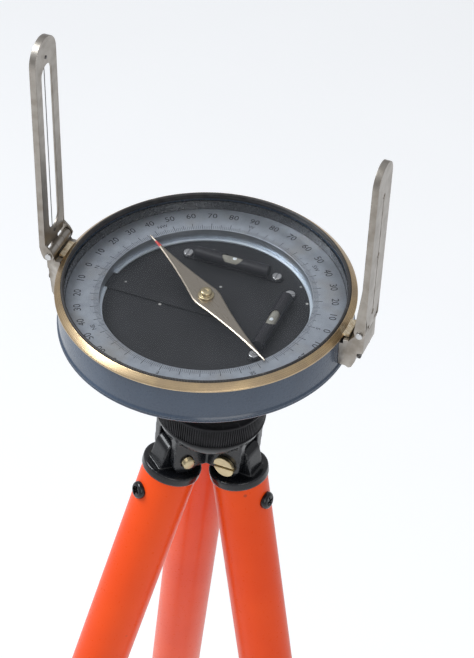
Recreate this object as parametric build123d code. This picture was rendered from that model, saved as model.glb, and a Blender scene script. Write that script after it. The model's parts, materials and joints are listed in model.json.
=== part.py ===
"""Surveying compass with two folding sight vanes on a ball-jointed tripod.

Frame: millimetres, +Z up, origin on the ground straight below the compass axis.
The sight line runs along X: object vane at -X, eye vane at +X.
The compass stands level while the tripod head leans a little, as on uneven legs.
"""
from build123d import *
import math
import os

# ---------------------------------------------------------------- driving dimensions
RIM_HEIGHT = 1200.0       # ground to the top of the compass rim
BALL_DEPTH = 74.3         # rim top down to the ball centre
BALL_SHIFT = (2.8, 1.2)   # spindle axis from the centre of the box, in plan
LEAN = 4.7                # lean of the tripod head, degrees
LEAN_AXIS = 96.7          # plan direction of the axis that the head leans about
LEG_ANGLES = {"a": -9.0, "b": 111.0, "c": -129.0}
SPLAY = 13.3              # leg to head axis, degrees

# compass box, heights below the rim top are negative
RING_R = 67.0             # black retaining ring, outside
RING_BORE = 65.5
BEZEL_R = 70.0
BEZEL_TOP = -2.6
BEZEL_BOTTOM = -3.9
BEZEL_LUG = (72.3, 5.5)   # reach and half width of the lug at each hinge
WALL_R = 68.6
BEAD_R = 69.4
BOX_BORE = 65.2
BOX_BOTTOM = -23.5
FLOOR_TOP = -21.5
GLASS_TOP = -2.2
GLASS_THICK = 2.0
SCALE_TOP = -9.1          # graduated ring, top face
SCALE_BORE = 49.5
LEDGE_TOP = -14.5
PLATE_TOP = -15.6
PLATE_THICK = 1.5

# needle and its lifting arm
NEEDLE_ANGLE = 144.0      # plan direction of the north tip
NEEDLE_HALF = 51.0
NEEDLE_WIDE = 12.9
NEEDLE_TOP = -7.9
NEEDLE_THICK = 0.8
ARM_WIDTH = 10.6
ARM_TOP = -14.75
ARM_THICK = 0.7
ARM_ROOT = -58.0          # x of the arm's fixed end
ARREST_X = -36.0          # x of the arrest screw

# spirit levels
LEVEL_SPACING = 45.2      # between a level's two screws
LEVEL_TUBE_R = 3.1
LEVEL_TUBE_LENGTH = 37.0
LEVEL_OFFSET = {"x": 32.0, "y": 33.0}

# sight vanes and their hinges; hinge = (distance from the compass axis, height above the rim top),
# web and lip = from the hinge axis outward, foot = web's half width at its lower end
VANES = {
    "object": dict(turn=180, lean=0.0, width=21.0, height=115.6, hinge=(75.2, -1.2),
                   web=(1.6, 2.6), lip=(1.6, 4.8), foot=8.5),
    "eye": dict(turn=0, lean=1.7, width=18.0, height=92.0, hinge=(78.3, 2.0),
                web=(1.4, 2.4), lip=(-0.6, 2.4), foot=6.0),
}
KNUCKLE_R = 2.3
PIN_R = 1.0
SHEET = 1.0
WEB_FOOT = 3.2            # lower edge of the web above the hinge axis
LUG_OUTLINES = {          # end of a side flange round the pin, (outward, up) from the axis
    "object": ((1.6, 14), (4.8, 14), (4.7, 4), (3.7, 0), (2.6, -2.4), (0, -3.1), (-2.1, -2.1),
               (-2.7, 0.3), (-1.2, 3.2), (1.6, 6)),
    "eye": ((-0.6, 34), (2.4, 34), (2.4, 1), (1.6, -1.8), (0, -2.6), (-2.1, -1.8), (-2.9, 1),
            (-2.2, 9), (-1.4, 17), (-0.6, 26)),
}
SLOT_WIDTH = 10.0         # object vane
SLOT_SPAN = (10.4, 101.8)
WIRE_ENDS = (8.0, 105.8)
WIRE_R = 0.2
PEG_R = 0.8
SLIT_WIDTH = 0.9          # eye vane
SLIT_SPAN = (8.4, 74.8)
SIGHT_HOLE_R = 1.3
SIGHT_HOLES = (8.4, 41.5, 74.8)
KNUCKLE_HALF = 3.0        # half length of the vane's own knuckle
END_GAP = 0.3             # barrel to the flange lugs at its ends
BRACKETS = {              # heights from the hinge axis; face = outer face of the tongue, outward
    "object": dict(shelf=-3.1, cheek=-8.0, face=1.2, low=-26.5, screw=-15.5),
    "eye": dict(shelf=-6.3, cheek=-11.7, face=-1.0, low=-22.3, screw=-14.6),
}
BRACKET_SCREW_Y = 5.5
SMALL_SCREW_R = 1.1

# azimuth bearing and ball joint, heights from the ball centre
HUB_R = 15.0
HUB_BOTTOM = 24.0
SPINDLE_R = 8.0
FIT = 0.05                # radial running clearance
CLAMP_SCREW_UP = 34.0
BALL_R = 12.0
NECK_R = 5.5
SEAT_R = 13.5
RING_OUT = 26.5           # ribbed clamp ring
RING_TOP = 6.0
RING_LOW = -7.0
BOSS_R = 22.2             # threaded boss of the head inside the clamp ring

# tripod head and legs
HINGE_DROP = 26.3         # leg hinge below the ball centre
LEG_HINGE_R = 16.6
LUG_R = 7.4
LUG_HALF = 10.4
TONGUE_HALF = 5.5
BOLT_R = 3.0
FLANGE_R = 14.7
FLANGE_TOP = -7.8         # along the leg, from its hinge
FLANGE_BOTTOM = -12.8
LEG_R = 13.7
LEG_WALL = 1.5
UPPER_LENGTH = 600.0
LOWER_R = 11.2
LOWER_WALL = 1.4
LOWER_LENGTH = 600.0
COLLAR_R = 16.8
TIP_R = 5.0               # rounded point of each foot
LEG_SCREW_Z = FLANGE_BOTTOM - 12.6
LEG_SCREW_R = 2.0
UPPER_END = FLANGE_BOTTOM - UPPER_LENGTH
KNOB_Z = UPPER_END - 8.0
KNOB_SCREW_R = 3.0

BASE = (Align.CENTER, Align.CENTER, Align.MIN)


# ---------------------------------------------------------------- frames
BALL_HEIGHT = RIM_HEIGHT - BALL_DEPTH
RIM_FRAME = Pos(0, 0, RIM_HEIGHT)
BALL_FRAME = Pos(*BALL_SHIFT, BALL_HEIGHT)
HEAD_FRAME = BALL_FRAME * Rot(0, 0, LEAN_AXIS) * Rot(LEAN, 0, 0) * Rot(0, 0, -LEAN_AXIS)


def leg_frame(name):
    """Origin at the leg's hinge, +X outward, +Y along the bolt, +Z up the leg."""
    out = Rot(0, 0, LEG_ANGLES[name]) * Pos(LEG_HINGE_R, 0, -HINGE_DROP)
    return HEAD_FRAME * out * Rot(0, -SPLAY, 0)


def vane_frame(name):
    """Origin on the hinge axis, +X away from the compass, +Z up the vane."""
    vane = VANES[name]
    return hinge_frame(name) * Rot(0, vane["lean"], 0)


def hinge_frame(name):
    """Origin on the hinge axis, +X away from the compass, +Z straight up."""
    reach, up = VANES[name]["hinge"]
    return RIM_FRAME * Rot(0, 0, VANES[name]["turn"]) * Pos(reach, 0, up)


def barrel_half(name):
    """Half length of the hinge barrel, which fits between the vane's flanges."""
    return VANES[name]["width"] / 2 - SHEET - END_GAP


def screw_height(name):
    """Height of a bracket's screws below the rim top."""
    return VANES[name]["hinge"][1] + BRACKETS[name]["screw"]


# ---------------------------------------------------------------- simple shapes
def turned(*profile):
    """Solid of revolution about Z from (radius, height) corners."""
    outline = Polyline(*[(radius, 0, height) for radius, height in profile], close=True)
    return revolve(make_face(outline), Axis.Z)


def rod(radius, bottom, top):
    return Pos(0, 0, bottom) * Cylinder(radius, top - bottom, align=BASE)


def tube(radius, bore, bottom, top):
    return rod(radius, bottom, top) - rod(bore, bottom - 1, top + 1)


def block(x_span, y_span, z_span):
    """Box between two values on each axis."""
    spans = (x_span, y_span, z_span)
    middle = [(low + high) / 2 for low, high in spans]
    return Pos(*middle) * Box(*[high - low for low, high in spans])


def rod_x(radius, start, end):
    return Rot(0, 90, 0) * rod(radius, start, end)


def rod_y(radius, start, end):
    return Rot(-90, 0, 0) * rod(radius, start, end)


def slotted_head(radius, height, slot):
    """Cheese head standing on Z = 0, with a driver slot across its top."""
    head = rod(radius, 0, height)
    head = chamfer(head.edges().group_by(Axis.Z)[-1], height * 0.2)
    return head - block((-slot / 2, slot / 2), (-radius - 1, radius + 1), (height * 0.5, height + 1))


# ---------------------------------------------------------------- compass box
def compass_box():
    glass_seat = GLASS_TOP - GLASS_THICK
    shell = turned(
        (0, BOX_BOTTOM), (BEAD_R - 0.8, BOX_BOTTOM), (BEAD_R, BOX_BOTTOM + 0.8),
        (BEAD_R, BOX_BOTTOM + 2.5), (WALL_R, BOX_BOTTOM + 3.3), (WALL_R, BEZEL_BOTTOM),
        (RING_R - 0.4, BEZEL_BOTTOM), (RING_R - 0.4, glass_seat), (BOX_BORE, glass_seat),
        (BOX_BORE, PLATE_TOP - PLATE_THICK), (BOX_BORE - 3.2, PLATE_TOP - PLATE_THICK),
        (BOX_BORE - 3.2, FLOOR_TOP), (0, FLOOR_TOP),
    )
    arrest_hole = Pos(ARREST_X, 0, 0) * rod(2.0 + FIT, BOX_BOTTOM - 1, FLOOR_TOP + 1)
    side_hole = rod_x(SMALL_SCREW_R + FIT, BOX_BORE - 2, 72)
    return shell - arrest_hole - [place * side_hole for place in bracket_screw_places()]


def brass_bezel():
    """Brass ring with a flat lug in front of each hinge."""
    inner = RING_R + FIT
    ring = turned(
        (inner, BEZEL_BOTTOM), (BEZEL_R, BEZEL_BOTTOM), (BEZEL_R, BEZEL_TOP - 0.4),
        (BEZEL_R - 0.4, BEZEL_TOP), (inner, BEZEL_TOP),
    )
    reach, half = BEZEL_LUG
    lugs = block((-reach, reach), (-half, half), (BEZEL_BOTTOM, BEZEL_TOP))
    return ring + (lugs - rod(inner, -10, 0))


def retaining_ring():
    return turned(
        (RING_BORE, GLASS_TOP), (RING_R - 0.55, GLASS_TOP), (RING_R - 0.55, BEZEL_BOTTOM + 0.05),
        (RING_R, BEZEL_BOTTOM + 0.05), (RING_R, -0.4),
        (RING_R - 0.4, 0), (RING_BORE + 0.4, 0), (RING_BORE, -0.4),
    )


def cover_glass():
    return rod(RING_R - 0.6, GLASS_TOP - GLASS_THICK, GLASS_TOP)


def graduated_ring():
    outer = BOX_BORE - 0.1
    return turned(
        (SCALE_BORE, SCALE_TOP), (outer, SCALE_TOP), (outer, LEDGE_TOP), (outer - 2.5, LEDGE_TOP),
        (outer - 2.5, SCALE_TOP - 2.5), (SCALE_BORE + 2.5, SCALE_TOP - 2.5),
        (SCALE_BORE + 2.5, LEDGE_TOP), (SCALE_BORE, LEDGE_TOP),
    )


def ledge_ring():
    ring = tube(BOX_BORE - 0.1, SCALE_BORE - 1.3, PLATE_TOP, LEDGE_TOP)
    notch = ARM_WIDTH / 2 + 0.2
    return ring - block((ARM_ROOT - 5, -40), (-notch, notch), (PLATE_TOP - 1, LEDGE_TOP + 1))


def base_plate():
    plate = rod(BOX_BORE - 0.1, PLATE_TOP - PLATE_THICK, PLATE_TOP)
    through = (PLATE_TOP - PLATE_THICK - 1, PLATE_TOP + 1)
    holes = [rod(2.6, *through), Pos(ARREST_X, 0, 0) * rod(2.3, *through)]
    holes += [place * rod(1.2, *through) for place in level_screw_places()]
    holes.append(Pos(ARM_ROOT, 0, 0) * rod(1.2, *through))
    return plate - holes


# ---------------------------------------------------------------- needle
def pivot_post():
    return turned(
        (0, FLOOR_TOP), (2.5, FLOOR_TOP), (2.5, PLATE_TOP), (0.9, PLATE_TOP + 0.4),
        (0.9, -11.4), (0.12, -8.7), (0, -8.6),
    )


def needle():
    """Concave lozenge: four arcs between the two tips and the two side corners."""
    tip, side = NEEDLE_HALF, NEEDLE_WIDE / 2
    outline = []
    for sx in (1, -1):
        for sy in (1, -1):
            ends = ((sx * tip, sy * 0.3), (sx * tip * 0.5, sy * side * 0.33), (sx * 2.0, sy * side))
            outline.append(ThreePointArc(*ends))
    outline += [Line((sx * tip, -0.3), (sx * tip, 0.3)) for sx in (1, -1)]
    outline += [Line((-2.0, sy * side), (2.0, sy * side)) for sy in (1, -1)]
    blade = extrude(make_face(outline), NEEDLE_THICK)
    blade = Pos(0, 0, NEEDLE_TOP - NEEDLE_THICK) * blade - rod(2.6, -20, 0)
    return Rot(0, 0, NEEDLE_ANGLE) * blade


def needle_cap():
    low = NEEDLE_TOP - NEEDLE_THICK
    cap = turned(
        (0, low - 4.6), (3.1, low - 4.6), (3.1, low), (2.55, low), (2.55, NEEDLE_TOP),
        (3.85, NEEDLE_TOP), (3.85, NEEDLE_TOP + 0.9), (3.3, NEEDLE_TOP + 1.2), (2.9, NEEDLE_TOP + 1.3),
        (2.9, NEEDLE_TOP + 2.8), (2.3, NEEDLE_TOP + 3.3), (0, NEEDLE_TOP + 3.5),
    )
    bore = turned((0, low - 5), (2.0, low - 5), (0.35, NEEDLE_TOP - 0.5), (0, NEEDLE_TOP - 0.3))
    return cap - bore


def lift_arm():
    """Flat spring strip that raises the needle off its pivot."""
    half = ARM_WIDTH / 2
    strip = block((ARM_ROOT - 3.5, 5.0), (-half, half), (ARM_TOP - ARM_THICK, ARM_TOP))
    strip = fillet(strip.edges().filter_by(Axis.Z), 2.0)
    strip -= rod(2.2, -20, 0)
    return strip - Pos(ARM_ROOT, 0, 0) * rod(1.5, -20, 0)


def arrest_screw():
    """Knurled screw under the box whose tip lifts the arm."""
    head_top = BOX_BOTTOM - 0.6
    shank = rod(2.0, head_top - 1, ARM_TOP - ARM_THICK - 0.06)
    head = rod(5.5, head_top - 5, head_top)
    head = fillet(head.edges().filter_by(GeomType.CIRCLE), 0.6)
    return Pos(ARREST_X, 0, 0) * (head + shank)


# ---------------------------------------------------------------- spirit levels
def level_place(axis):
    """Frame of one level: its tube lies along local X."""
    if axis == "x":
        return Pos(0, LEVEL_OFFSET["x"], PLATE_TOP)
    return Pos(LEVEL_OFFSET["y"], 0, PLATE_TOP) * Rot(0, 0, 90)


def level_screw_places():
    places = []
    for axis in ("x", "y"):
        for end in (-1, 1):
            level = level_place(axis) * Pos(end * LEVEL_SPACING / 2, 0, -PLATE_TOP)
            places.append(level)
    return places


def level_bed(axis):
    """Black tube with an oval window on top and a screw tab at each end."""
    half = LEVEL_TUBE_LENGTH / 2
    up = Pos(0, 0, LEVEL_TUBE_R)
    tab_end = LEVEL_SPACING / 2 + 2.9
    tabs = block((-tab_end, tab_end), (-2.6, 2.6), (0, 0.8))
    tabs = fillet(tabs.edges().filter_by(Axis.Z), 2.5)
    bed = up * rod_x(LEVEL_TUBE_R, -half, half) + tabs
    bed -= up * rod_x(LEVEL_TUBE_R - 0.55, -half + 0.8, half - 0.8)
    bed -= Pos(0, 0, LEVEL_TUBE_R + 1.0) * extrude(Ellipse(5.2, 3.3), 5)
    for end in (-1, 1):
        bed -= Pos(end * LEVEL_SPACING / 2, 0, 0) * rod(1.2, -1, 2)
    return level_place(axis) * bed


def level_vial(axis):
    half = LEVEL_TUBE_LENGTH / 2 - 1.0
    vial = Pos(0, 0, LEVEL_TUBE_R) * rod_x(LEVEL_TUBE_R - 0.6, -half, half)
    return level_place(axis) * vial


def plate_screws():
    """Four screws of the levels and the one that holds the lifting arm."""
    screw = Pos(0, 0, PLATE_TOP + 0.8) * slotted_head(2.35, 1.3, 0.6)
    screw += rod(SMALL_SCREW_R, PLATE_TOP - PLATE_THICK, PLATE_TOP + 1)
    screws = [place * screw for place in level_screw_places()]
    arm_screw = Pos(0, 0, ARM_TOP + 0.15) * slotted_head(2.2, 1.2, 0.6)
    arm_screw += rod(SMALL_SCREW_R, PLATE_TOP - PLATE_THICK, ARM_TOP + 0.3)
    screws.append(Pos(ARM_ROOT, 0, 0) * arm_screw)
    return Compound(children=screws)


# ---------------------------------------------------------------- sight vanes
def arch(width, bottom, top):
    """Upright outline with a half-round top, drawn in the YZ plane."""
    half = width / 2
    spring = top - half
    edges = [
        Line((0, -half, bottom), (0, half, bottom)),
        Line((0, half, bottom), (0, half, spring)),
        ThreePointArc((0, half, spring), (0, 0, top), (0, -half, spring)),
        Line((0, -half, spring), (0, -half, bottom)),
    ]
    return make_face(edges)


def outward(face, start, end):
    """Solid of a YZ face between two X values."""
    return Pos(start, 0, 0) * extrude(face, end - start, dir=(1, 0, 0))


def slit(width, bottom, top):
    """Cutter for an upright slot with round ends."""
    radius = width / 2
    cut = block((-5, 5), (-radius, radius), (bottom + radius, top - radius))
    ends = [Pos(0, 0, z) * rod_x(radius, -5, 5) for z in (bottom + radius, top - radius)]
    return cut + ends


def side_plate(outline, start, end):
    """Plate across Y with the given (X, Z) outline."""
    face = make_face(Polyline(*[(x, start, z) for x, z in outline], close=True))
    return extrude(face, end - start, dir=(0, 1, 0))


def vane(name):
    """Stamped channel whose flanges end in lugs round the hinge pin."""
    size = VANES[name]
    width, height, foot = size["width"], size["height"], size["foot"]
    half = width / 2
    web_in, web_out = size["web"]
    lip_in, lip_out = size["lip"]
    taper = 14.0
    web = outward(arch(width, taper, height), web_in, web_out)
    corners = [(-foot, WEB_FOOT), (foot, WEB_FOOT), (half, taper), (-half, taper)]
    lower = make_face(Polyline(*[(web_in, y, z) for y, z in corners], close=True))
    web += extrude(lower, SHEET, dir=(1, 0, 0))
    channel = outward(arch(width, taper, height), lip_in, lip_out)
    hollow = arch(width - 2 * SHEET, taper - 5, height - SHEET)
    channel -= outward(hollow, lip_in - 1, web_in) + outward(hollow, web_out, lip_out + 1)
    solid = web + channel
    for start in (-half, half - SHEET):
        solid += side_plate(LUG_OUTLINES[name], start, start + SHEET)
    tab = block((web_in, web_out), (-KNUCKLE_HALF, KNUCKLE_HALF), (0, WEB_FOOT + 1))
    solid += tab + rod_y(KNUCKLE_R, -KNUCKLE_HALF, KNUCKLE_HALF)
    solid -= rod_y(PIN_R + FIT, -width, width)
    if name == "object":
        solid -= slit(SLOT_WIDTH, *SLOT_SPAN)
        solid -= [Pos(0, 0, z) * rod_x(PEG_R + FIT, 0, 5) for z in WIRE_ENDS]
    else:
        solid -= slit(SLIT_WIDTH, *SLIT_SPAN)
        solid -= [Pos(0, 0, z) * rod_x(SIGHT_HOLE_R, 0, 5) for z in SIGHT_HOLES]
    return solid


def sight_wire():
    """Upright wire down the object vane's slot, between two pegs."""
    low, high = WIRE_ENDS
    front, behind = VANES["object"]["web"]
    wire = Pos(behind + 0.2, 0, 0) * rod(WIRE_R, low, high)
    pegs = [Pos(0, 0, z) * rod_x(PEG_R, front - 0.3, behind + 0.9) for z in WIRE_ENDS]
    return wire + pegs


def bracket(name):
    """Hinge leaf: two knuckles on a thick tongue that runs down the box side."""
    shape = BRACKETS[name]
    reach, up = VANES[name]["hinge"]
    inner = BEZEL_R + 0.2 - reach
    half = barrel_half(name)
    shelf, cheek, face, low = shape["shelf"], shape["cheek"], shape["face"], shape["low"]
    outline = [
        (inner, shelf), (inner + 2.4, shelf), (-1.9, -1.2), (0, 0), (1.9, -1.2), (1.7, cheek),
        (face, cheek - 0.8), (face - 1.2, low + 4), (face - 2.6, low + 0.8), (face - 4, low), (inner, low + 1.6),
    ]
    body = side_plate(outline, -half, half)
    body += rod_y(KNUCKLE_R, -half, half)
    gap = KNUCKLE_HALF + 0.2
    body -= rod_y(KNUCKLE_R + 0.35, -gap, gap) + block((-3.2, 5), (-gap, gap), (-1.5, 5))
    pad = block((WALL_R - reach - 2, inner + 1), (-half, half), (BOX_BOTTOM + 4 - up, BEZEL_BOTTOM - 2.5 - up))
    pad -= Pos(-reach, 0, 0) * rod(WALL_R + FIT, -40, 10)
    solid = body + pad - rod_y(PIN_R + 0.02, -half - 1, half + 1)
    holes = [Pos(0, y, shape["screw"]) * rod_x(SMALL_SCREW_R + FIT, -12, 5) for y in (-BRACKET_SCREW_Y, BRACKET_SCREW_Y)]
    return solid - holes


def hinge_pin(name):
    """Plain pin with a small riveted head outside each flange."""
    end = VANES[name]["width"] / 2 + 0.06
    pin = rod_y(PIN_R, -end, end)
    heads = rod_y(1.6, end, end + 0.9) + rod_y(1.6, -end - 0.9, -end)
    return pin + heads


def bracket_screw_places():
    """Frames of the bracket screws on the box wall, +X outward."""
    places = []
    for name, size in VANES.items():
        turn = Rot(0, 0, size["turn"])
        places += [turn * Pos(0, y, screw_height(name)) for y in (-BRACKET_SCREW_Y, BRACKET_SCREW_Y)]
    return places


def bracket_screws():
    screws = []
    for place, name in zip(bracket_screw_places(), ("object", "object", "eye", "eye")):
        face = VANES[name]["hinge"][0] + BRACKETS[name]["face"] - 0.1
        screw = Pos(face, 0, 0) * Rot(0, 90, 0) * slotted_head(1.7, 1.4, 0.5)
        screw += rod_x(SMALL_SCREW_R, BOX_BORE + 0.1, face + 0.2)
        screws.append(place * screw)
    return Compound(children=screws)


# ---------------------------------------------------------------- azimuth bearing, ball joint
def azimuth_hub():
    """Socket under the box that turns on the spindle of the ball."""
    top = BALL_DEPTH + BOX_BOTTOM
    hub = turned(
        (0, HUB_BOTTOM), (HUB_R - 0.8, HUB_BOTTOM), (HUB_R, HUB_BOTTOM + 0.8), (HUB_R, top - 4.5),
        (HUB_R + 1.5, top - 3), (22, top - 3), (22, top), (0, top),
    )
    hub -= rod(SPINDLE_R + FIT, HUB_BOTTOM - 1, top - 4)
    return hub - Pos(0, 0, CLAMP_SCREW_UP) * rod_y(2.5 + FIT, 0, 30)


def azimuth_clamp():
    """Knurled screw that holds the compass at a bearing, drawn loosened off the spindle."""
    shank = rod_y(2.5, SPINDLE_R + 0.5, 18.5)
    knob = rod_y(6.5, 18, 26)
    knob = fillet(knob.edges().filter_by(GeomType.CIRCLE), 0.8)
    return Pos(0, 0, CLAMP_SCREW_UP) * (shank + knob)


def ball_stud():
    top = BALL_DEPTH + BOX_BOTTOM - 4.5
    shoulder = HUB_BOTTOM - 0.1
    stud = turned(
        (0, 9), (NECK_R, 9), (NECK_R, shoulder - 5.5), (NECK_R + 2, shoulder - 3.5),
        (13, shoulder - 3.5), (13, shoulder), (SPINDLE_R, shoulder), (SPINDLE_R, 31), (7, 31.6),
        (7, 36.4), (SPINDLE_R, 37), (SPINDLE_R, top - 1), (SPINDLE_R - 1, top), (0, top),
    )
    return stud + Sphere(BALL_R)


def ball_seat():
    """Thin cup between the ball and the head."""
    cup = Sphere(SEAT_R) - Sphere(BALL_R + FIT)
    cup -= block((-20, 20), (-20, 20), (-3, 20))
    return cup - rod(4, -20, 0)


def clamp_ring():
    """Ring nut that presses the ball down into its seat."""
    under = 2.4
    ring = turned(
        (0, under), (BOSS_R + 0.1, under), (BOSS_R + 0.1, RING_LOW), (RING_OUT, RING_LOW),
        (RING_OUT + 0.4, RING_LOW + 0.8), (RING_OUT, RING_TOP - 0.8), (RING_OUT - 0.8, RING_TOP),
        (RING_OUT - 3.5, RING_TOP), (13.5, RING_TOP - 1.4), (0, RING_TOP - 1.4),
    )
    ring -= Sphere(BALL_R + 0.08)
    return ring - rod(10.0, 0, 10)


# ---------------------------------------------------------------- tripod head and legs
def on_legs(shape):
    """Three copies of a shape, one at each leg's plan direction."""
    return [Rot(0, 0, angle) * shape for angle in LEG_ANGLES.values()]


def tripod_head():
    collar_low = -13.2
    head = turned(
        (0, -31), (7.5, -31), (8.5, -29.5), (11, collar_low - 3), (22.5, collar_low),
        (24.6, collar_low + 1), (25.4, -9.5), (25.6, -7.8), (25.2, -7.4), (BOSS_R, -7.4),
        (BOSS_R, 1.4), (BOSS_R - 0.6, 2.0), (0, 2.0),
    )
    hinge = Pos(LEG_HINGE_R, 0, -HINGE_DROP)
    lugs = hinge * rod_y(LUG_R, -LUG_HALF, LUG_HALF)
    lugs += block((2, LEG_HINGE_R + LUG_R), (-LUG_HALF, LUG_HALF), (-HINGE_DROP, -9.5))
    lugs += block((2, LEG_HINGE_R), (-LUG_HALF, LUG_HALF), (-HINGE_DROP - LUG_R + 2, -HINGE_DROP))
    head += on_legs(lugs)
    gap = TONGUE_HALF + 0.3
    slot = block((LEG_HINGE_R - 8.2, 60), (-gap, gap), (-60, collar_low))
    hole = hinge * rod_y(BOLT_R + FIT, -20, 20)
    head = head - on_legs(slot) - on_legs(hole)
    head -= Sphere(SEAT_R + FIT) + rod(SEAT_R + FIT, 0, 10)
    return head - rod(3.0, -34, -21)


def hinge_bolts():
    """Slotted bolt through each pair of lugs, its plain end standing out."""
    reach = LUG_HALF + 0.1
    bolt = rod_y(BOLT_R, -reach, reach + 2.2)
    head = Rot(90, 0, 0) * Pos(0, 0, reach) * slotted_head(5.5, 2.0, 1.0)
    bolt = Pos(LEG_HINGE_R, 0, -HINGE_DROP) * (bolt + head)
    return Compound(children=on_legs(bolt))


def leg_cap():
    """Hinge tongue, flange and the spigot inside the leg."""
    tongue = rod_y(7.0, -TONGUE_HALF, TONGUE_HALF)
    outer = block((0, 10.6), (-TONGUE_HALF, TONGUE_HALF), (FLANGE_TOP - 1, 7.8))
    outer = fillet(outer.edges().filter_by(Axis.Y).sort_by(Axis.X)[-2:].sort_by(Axis.Z)[-1], 5.0)
    neck = block((-7.0, 10.6), (-TONGUE_HALF, TONGUE_HALF), (FLANGE_TOP - 1, -4))
    flange = rod(FLANGE_R, FLANGE_BOTTOM, FLANGE_TOP)
    flange = fillet(flange.edges().filter_by(GeomType.CIRCLE), 0.8)
    spigot = tube(LEG_R - LEG_WALL - FIT, 8.0, FLANGE_BOTTOM - 30, FLANGE_BOTTOM + 1)
    cap = tongue + outer + neck + flange + spigot
    cap -= rod_y(BOLT_R + FIT, -20, 20)
    return cap - Pos(0, 0, LEG_SCREW_Z) * rod_x(LEG_SCREW_R + 0.1, 0, 20)


def leg_tube():
    body = tube(LEG_R, LEG_R - LEG_WALL, UPPER_END, FLANGE_BOTTOM)
    return body - Pos(0, 0, LEG_SCREW_Z) * rod_x(LEG_SCREW_R + 0.1, 0, 20)


def leg_screw():
    """Round-head screw on the outward side, cut to sit on the round leg."""
    head = Pos(LEG_R - 1.2, 0, 0) * rod_x(4.4, 0, 3.6)
    head = fillet(head.edges().filter_by(GeomType.CIRCLE).sort_by(Axis.X)[-1], 1.8)
    head -= Pos(0, 0, -20) * rod(LEG_R + 0.02, 0, 40)
    cross = block((LEG_R + 1.5, LEG_R + 5), (-0.5, 0.5), (-2.4, 2.4))
    cross += block((LEG_R + 1.5, LEG_R + 5), (-2.4, 2.4), (-0.5, 0.5))
    screw = head - cross + rod_x(LEG_SCREW_R, 9.0, LEG_R + 0.6)
    return Pos(0, 0, LEG_SCREW_Z) * screw


def leg_collar():
    """Split clamp at the lower end of the leg tube."""
    top, low = UPPER_END + 28, UPPER_END - 18
    collar = turned(
        (LEG_R + FIT, UPPER_END), (LEG_R + FIT, top), (COLLAR_R - 1, top), (COLLAR_R, top - 2),
        (COLLAR_R, low + 3), (COLLAR_R - 2.5, low), (LOWER_R + FIT, low), (LOWER_R + FIT, UPPER_END),
    )
    collar += block((LOWER_R + 2, COLLAR_R + 3.5), (-6, 6), (low + 3, UPPER_END - 1))
    return collar - Pos(0, 0, KNOB_Z) * rod_x(KNOB_SCREW_R + FIT, 5, 40)


def leg_knob():
    """Clamp screw with a fluted knob, on the outward side of the collar."""
    start = COLLAR_R + 4.0
    knob = rod_x(8.5, start, start + 11)
    knob = fillet(knob.edges().filter_by(GeomType.CIRCLE), 1.2)
    shank = rod_x(KNOB_SCREW_R, LOWER_R + 0.2, start + 1)
    return Pos(0, 0, KNOB_Z) * (knob + shank)


def foot_distance(name):
    """Hinge to the centre of the foot's round point, down the leg."""
    hinge = leg_frame(name)
    height = hinge.position.Z
    drop = (hinge * Pos(0, 0, -1)).position.Z - height
    return (height - TIP_R) / -drop


def lower_tube(name):
    bottom = -foot_distance(name) + 42
    return tube(LOWER_R, LOWER_R - LOWER_WALL, bottom, bottom + LOWER_LENGTH)


def foot(name):
    """Ferrule with a round steel point that stands on the ground."""
    centre = -foot_distance(name)
    shell = turned(
        (0, centre), (TIP_R, centre), (TIP_R, centre + 9), (LOWER_R + 0.5, centre + 30),
        (LOWER_R + 1.6, centre + 34), (LOWER_R + 1.6, centre + 60), (LOWER_R + 0.05, centre + 60),
        (LOWER_R + 0.05, centre + 42), (0, centre + 42),
    )
    return shell + Pos(0, 0, centre) * Sphere(TIP_R)


# ---------------------------------------------------------------- assembly
def assembly():
    """Every node's solid in the row frame."""
    parts = {
        "compass_box": RIM_FRAME * compass_box(),
        "brass_bezel": RIM_FRAME * brass_bezel(),
        "retaining_ring": RIM_FRAME * retaining_ring(),
        "cover_glass": RIM_FRAME * cover_glass(),
        "graduated_ring": RIM_FRAME * graduated_ring(),
        "ledge_ring": RIM_FRAME * ledge_ring(),
        "base_plate": RIM_FRAME * base_plate(),
        "pivot_post": RIM_FRAME * pivot_post(),
        "needle": RIM_FRAME * needle(),
        "needle_cap": RIM_FRAME * needle_cap(),
        "lift_arm": RIM_FRAME * lift_arm(),
        "arrest_screw": RIM_FRAME * arrest_screw(),
        "plate_screws": RIM_FRAME * plate_screws(),
        "bracket_screws": RIM_FRAME * bracket_screws(),
        "azimuth_hub": BALL_FRAME * azimuth_hub(),
        "azimuth_clamp": BALL_FRAME * azimuth_clamp(),
        "ball_stud": BALL_FRAME * ball_stud(),
        "ball_seat": HEAD_FRAME * ball_seat(),
        "clamp_ring": HEAD_FRAME * clamp_ring(),
        "tripod_head": HEAD_FRAME * tripod_head(),
        "hinge_bolts": HEAD_FRAME * hinge_bolts(),
        "sight_wire": vane_frame("object") * sight_wire(),
    }
    for axis in LEVEL_OFFSET:
        parts[f"level_bed_{axis}"] = RIM_FRAME * level_bed(axis)
        parts[f"level_vial_{axis}"] = RIM_FRAME * level_vial(axis)
    for name in VANES:
        parts[f"{name}_vane"] = vane_frame(name) * vane(name)
        parts[f"{name}_bracket"] = hinge_frame(name) * bracket(name)
        parts[f"{name}_pin"] = hinge_frame(name) * hinge_pin(name)
    leg_pieces = {
        "leg_cap": leg_cap(), "leg_tube": leg_tube(), "leg_screw": leg_screw(),
        "leg_collar": leg_collar(), "leg_knob": leg_knob(),
    }
    for name in LEG_ANGLES:
        for piece, shape in leg_pieces.items():
            parts[f"{piece}_{name}"] = leg_frame(name) * shape
        parts[f"lower_tube_{name}"] = leg_frame(name) * lower_tube(name)
        parts[f"foot_{name}"] = leg_frame(name) * foot(name)
    return parts


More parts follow.
